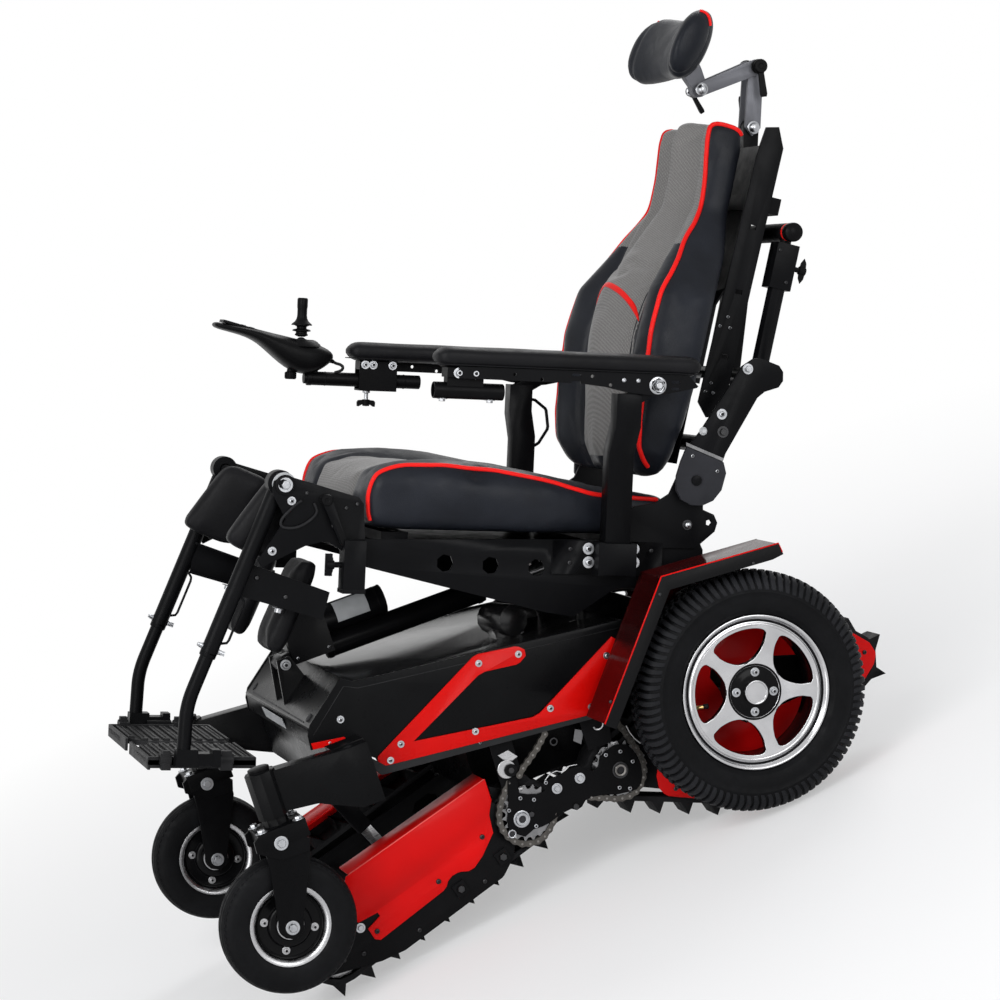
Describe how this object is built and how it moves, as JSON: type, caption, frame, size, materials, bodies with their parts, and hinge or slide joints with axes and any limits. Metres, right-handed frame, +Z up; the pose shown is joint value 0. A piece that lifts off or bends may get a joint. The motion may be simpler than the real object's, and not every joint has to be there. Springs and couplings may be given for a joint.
{
  "type": "stair climbing wheelchair",
  "caption": "Powered wheelchair with drive wheels, casters and two pairs of lugged tracks for stairs, tilting seat, reclining back, headrest, armrests, joystick and legrests.",
  "frame": {"origin": "On the floor under the middle of the overall bounding box.", "axes": "+Z up, -Y the way the sitter faces, +X to the sitter's left. Joint values are zero as in the picture, with the tracks down."},
  "size_m": [0.6704, 1.3292, 1.1401],
  "materials": {
    "seat_frame": "satin black",
    "pad_vinyl": "black moulded foam",
    "cushion_fabric": "black and grey knit with red piping",
    "battery_grey": "dark grey",
    "fork_black": "satin black",
    "caster_wheel": "black solid tyre on a grey hub",
    "skirt_black": "satin black powder coat",
    "motor_dark": "dark cast",
    "rim_grey": "silver and black cast",
    "tyre_rubber": "black block tread",
    "fender_red": "dark red gloss",
    "black_plastic": "black",
    "belt_rubber": "dark grey lugged rubber",
    "trim_red": "gloss red",
    "bright_steel": "bright",
    "track_plate": "dark grey",
    "link_grey": "grey cast",
    "gloss_knob": "black gloss",
    "actuator_grey": "grey extruded",
    "deck_grey": "dark grey satin",
    "bracket_black": "satin black"
  },
  "bodies": {
    "chassis": {"battery_pack": "battery_grey", "chassis_frame": "skirt_black", "drive_motor_left": "motor_dark", "drive_motor_right": "motor_dark", "fender_left": "fender_red", "fender_right": "fender_red", "red_trim_left": "trim_red", "red_trim_right": "trim_red", "top_cover": "deck_grey", "track_bracket_left": "bracket_black", "track_bracket_right": "bracket_black"},
    "post_left": {"arm_post_left": "seat_frame"},
    "post_right": {"arm_post_right": "seat_frame"},
    "arm_left": {"armrest_left": "pad_vinyl"},
    "arm_right": {"armrest_right": "pad_vinyl"},
    "back": {"back_cushion": "cushion_fabric", "back_frame": "seat_frame"},
    "leg_left": {"calf_pad_left": "pad_vinyl", "leg_frame_left": "seat_frame", "side_pad_left": "pad_vinyl"},
    "leg_right": {"calf_pad_right": "pad_vinyl", "leg_frame_right": "seat_frame", "side_pad_right": "pad_vinyl"},
    "fork_left": {"caster_fork_left": "fork_black"},
    "fork_right": {"caster_fork_right": "fork_black"},
    "caster_left": {"caster_wheel_left": "caster_wheel"},
    "caster_right": {"caster_wheel_right": "caster_wheel"},
    "wheel_left": {"drive_rim_left": "rim_grey", "drive_tyre_left": "tyre_rubber"},
    "wheel_right": {"drive_rim_right": "rim_grey", "drive_tyre_right": "tyre_rubber"},
    "foot_left": {"footplate_left": "black_plastic"},
    "foot_right": {"footplate_right": "black_plastic"},
    "front_module": {"front_belt_left": "belt_rubber", "front_belt_right": "belt_rubber", "front_cover_left": "trim_red", "front_cover_right": "trim_red", "front_track_frame": "track_plate"},
    "front_toe_shaft": {"front_idler_shaft": "bright_steel"},
    "front_drive_shaft": {"front_sprocket_shaft": "bright_steel"},
    "head_link_lower": {"head_arm_lower": "link_grey"},
    "head_link_upper": {"head_arm_upper": "link_grey"},
    "head_cushion": {"headrest_cushion": "pad_vinyl"},
    "controller": {"joystick_box": "black_plastic"},
    "stick": {"joystick_lever": "gloss_knob"},
    "lift_inner": {"lift_rod": "bright_steel"},
    "lift_outer": {"lift_tube": "actuator_grey"},
    "push_bar": {"push_handle": "seat_frame"},
    "rear_module": {"rear_belt_left": "belt_rubber", "rear_belt_right": "belt_rubber", "rear_cover_left": "trim_red", "rear_cover_right": "trim_red", "rear_track_frame": "track_plate"},
    "rear_tail_shaft": {"rear_idler_shaft": "bright_steel"},
    "rear_drive_shaft": {"rear_sprocket_shaft": "bright_steel"},
    "seat": {"seat_cushion": "cushion_fabric", "seat_frame": "seat_frame"},
    "tilt_outer": {"tilt_actuator_body": "actuator_grey"},
    "tilt_inner": {"tilt_actuator_rod": "bright_steel"}
  },
  "joints": [
    {"name": "drive_wheel_left", "type": "hinge", "parent": "chassis", "child": "wheel_left", "pos_m": [0.29, 0.19277, 0.18342], "axis": [1, 0, 0], "continuous": true},
    {"name": "drive_wheel_right", "type": "hinge", "parent": "chassis", "child": "wheel_right", "pos_m": [-0.29, 0.19277, 0.18342], "axis": [1, 0, 0], "continuous": true},
    {"name": "caster_swivel_left", "type": "hinge", "parent": "chassis", "child": "fork_left", "pos_m": [0.2735, -0.52462, 0.30441], "axis": [0, 0.0686, 0.9976], "range_deg": [-45, 45]},
    {"name": "caster_swivel_right", "type": "hinge", "parent": "chassis", "child": "fork_right", "pos_m": [-0.2735, -0.52462, 0.30441], "axis": [0, 0.0686, 0.9976], "range_deg": [-45, 45]},
    {"name": "caster_spin_left", "type": "hinge", "parent": "fork_left", "child": "caster_left", "pos_m": [0.2735, -0.56484, 0.15682], "axis": [1, 0, 0], "continuous": true},
    {"name": "caster_spin_right", "type": "hinge", "parent": "fork_right", "child": "caster_right", "pos_m": [-0.2735, -0.56484, 0.15682], "axis": [1, 0, 0], "continuous": true},
    {"name": "front_tracks", "type": "hinge", "parent": "chassis", "child": "front_module", "pos_m": [0, -0.16644, 0.13444], "axis": [1, 0, 0], "range_deg": [-16, 4]},
    {"name": "front_sprocket", "type": "hinge", "parent": "front_module", "child": "front_drive_shaft", "pos_m": [0, -0.16644, 0.13444], "axis": [1, 0, 0], "continuous": true},
    {"name": "front_idler", "type": "hinge", "parent": "front_module", "child": "front_toe_shaft", "pos_m": [0, -0.50707, 0.06472], "axis": [1, 0, 0], "continuous": true},
    {"name": "rear_tracks", "type": "hinge", "parent": "chassis", "child": "rear_module", "pos_m": [0, -0.01404, 0.13499], "axis": [1, 0, 0], "range_deg": [-5, 12]},
    {"name": "rear_sprocket", "type": "hinge", "parent": "rear_module", "child": "rear_drive_shaft", "pos_m": [0, -0.01404, 0.13499], "axis": [1, 0, 0], "continuous": true},
    {"name": "rear_idler", "type": "hinge", "parent": "rear_module", "child": "rear_tail_shaft", "pos_m": [0, 0.38467, 0.13164], "axis": [1, 0, 0], "continuous": true},
    {"name": "lift_strut", "type": "hinge", "parent": "chassis", "child": "lift_outer", "pos_m": [0, -0.40053, 0.25779], "axis": [1, 0, 0], "range_deg": [-1.52, 5.49]},
    {"name": "lift_slide", "type": "slide", "parent": "lift_outer", "child": "lift_inner", "axis": [0, 0.3405, -0.9402], "range_m": [-0.0482, 0.0124]},
    {"name": "seat_tilt", "type": "hinge", "parent": "chassis", "child": "seat", "pos_m": [0, 0.06486, 0.36412], "axis": [1, 0, 0], "range_deg": [-8, 8]},
    {"name": "tilt_actuator", "type": "hinge", "parent": "chassis", "child": "tilt_outer", "pos_m": [0, -0.38822, 0.4514], "axis": [1, 0, 0], "range_deg": [-0.3824, 0.3824]},
    {"name": "tilt_slide", "type": "slide", "parent": "tilt_outer", "child": "tilt_inner", "axis": [0, 0.9973, -0.073], "range_m": [-0.008, 0.008]},
    {"name": "recline", "type": "hinge", "parent": "seat", "child": "back", "pos_m": [0, 0.24707, 0.49356], "axis": [1, 0, 0], "range_deg": [-40, 15]},
    {"name": "push_slide", "type": "slide", "parent": "back", "child": "push_bar", "axis": [0, 0.5726, 0.8198], "range_m": [0, 0.1]},
    {"name": "head_lower", "type": "hinge", "parent": "back", "child": "head_link_lower", "pos_m": [0, 0.61222, 0.92071], "axis": [1, 0, 0], "range_deg": [-25, 10]},
    {"name": "head_upper", "type": "hinge", "parent": "head_link_lower", "child": "head_link_upper", "pos_m": [0, 0.6526, 1.0056], "axis": [1, 0, 0], "range_deg": [-25, 15]},
    {"name": "headrest", "type": "hinge", "parent": "head_link_upper", "child": "head_cushion", "pos_m": [0, 0.55371, 1.00619], "axis": [1, 0, 0], "range_deg": [-25, 20]},
    {"name": "arm_slide_left", "type": "slide", "parent": "seat", "child": "post_left", "axis": [0, 0.42, 0.9075], "range_m": [0, 0.03]},
    {"name": "arm_slide_right", "type": "slide", "parent": "seat", "child": "post_right", "axis": [0, 0.42, 0.9075], "range_m": [0, 0.03]},
    {"name": "arm_flip_left", "type": "hinge", "parent": "post_left", "child": "arm_left", "pos_m": [0.27, 0.23061, 0.65324], "axis": [1, 0, 0], "range_deg": [-90, 0]},
    {"name": "arm_flip_right", "type": "hinge", "parent": "post_right", "child": "arm_right", "pos_m": [-0.27, 0.23061, 0.65324], "axis": [1, 0, 0], "range_deg": [-90, 0]},
    {"name": "joystick_slide", "type": "slide", "parent": "arm_right", "child": "controller", "axis": [0, 0.9075, -0.42], "range_m": [-0.035, 0.02]},
    {"name": "joystick", "type": "hinge", "parent": "controller", "child": "stick", "pos_m": [-0.268, -0.12105, 0.86005], "axis": [1, 0, 0], "range_deg": [-20, 20], "stiffness_Nm_per_rad": 0.6},
    {"name": "legrest_left", "type": "hinge", "parent": "seat", "child": "leg_left", "pos_m": [0.203, -0.32387, 0.73133], "axis": [1, 0, 0], "range_deg": [-60, 0]},
    {"name": "legrest_right", "type": "hinge", "parent": "seat", "child": "leg_right", "pos_m": [-0.203, -0.32387, 0.73133], "axis": [1, 0, 0], "range_deg": [-60, 0]},
    {"name": "footplate_hinge_left", "type": "hinge", "parent": "leg_left", "child": "foot_left", "pos_m": [0.1855, -0.57395, 0.4052], "axis": [0, 0.9075, -0.42], "range_deg": [0, 88]},
    {"name": "footplate_hinge_right", "type": "hinge", "parent": "leg_right", "child": "foot_right", "pos_m": [-0.1855, -0.57395, 0.4052], "axis": [0, -0.9075, 0.42], "range_deg": [0, 88]}
  ],
  "couplings": [
    {"joint": "front_idler", "follows": "front_sprocket", "ratio": 1},
    {"joint": "rear_sprocket", "follows": "front_sprocket", "ratio": 1},
    {"joint": "rear_idler", "follows": "front_sprocket", "ratio": 1},
    {"joint": "lift_strut", "follows": "front_tracks", "ratio": -0.3305},
    {"joint": "lift_slide", "follows": "front_tracks", "m_per_rad": 0.1707},
    {"joint": "tilt_actuator", "follows": "seat_tilt", "ratio": -0.0228},
    {"joint": "tilt_slide", "follows": "seat_tilt", "m_per_rad": -0.0538}
  ]
}
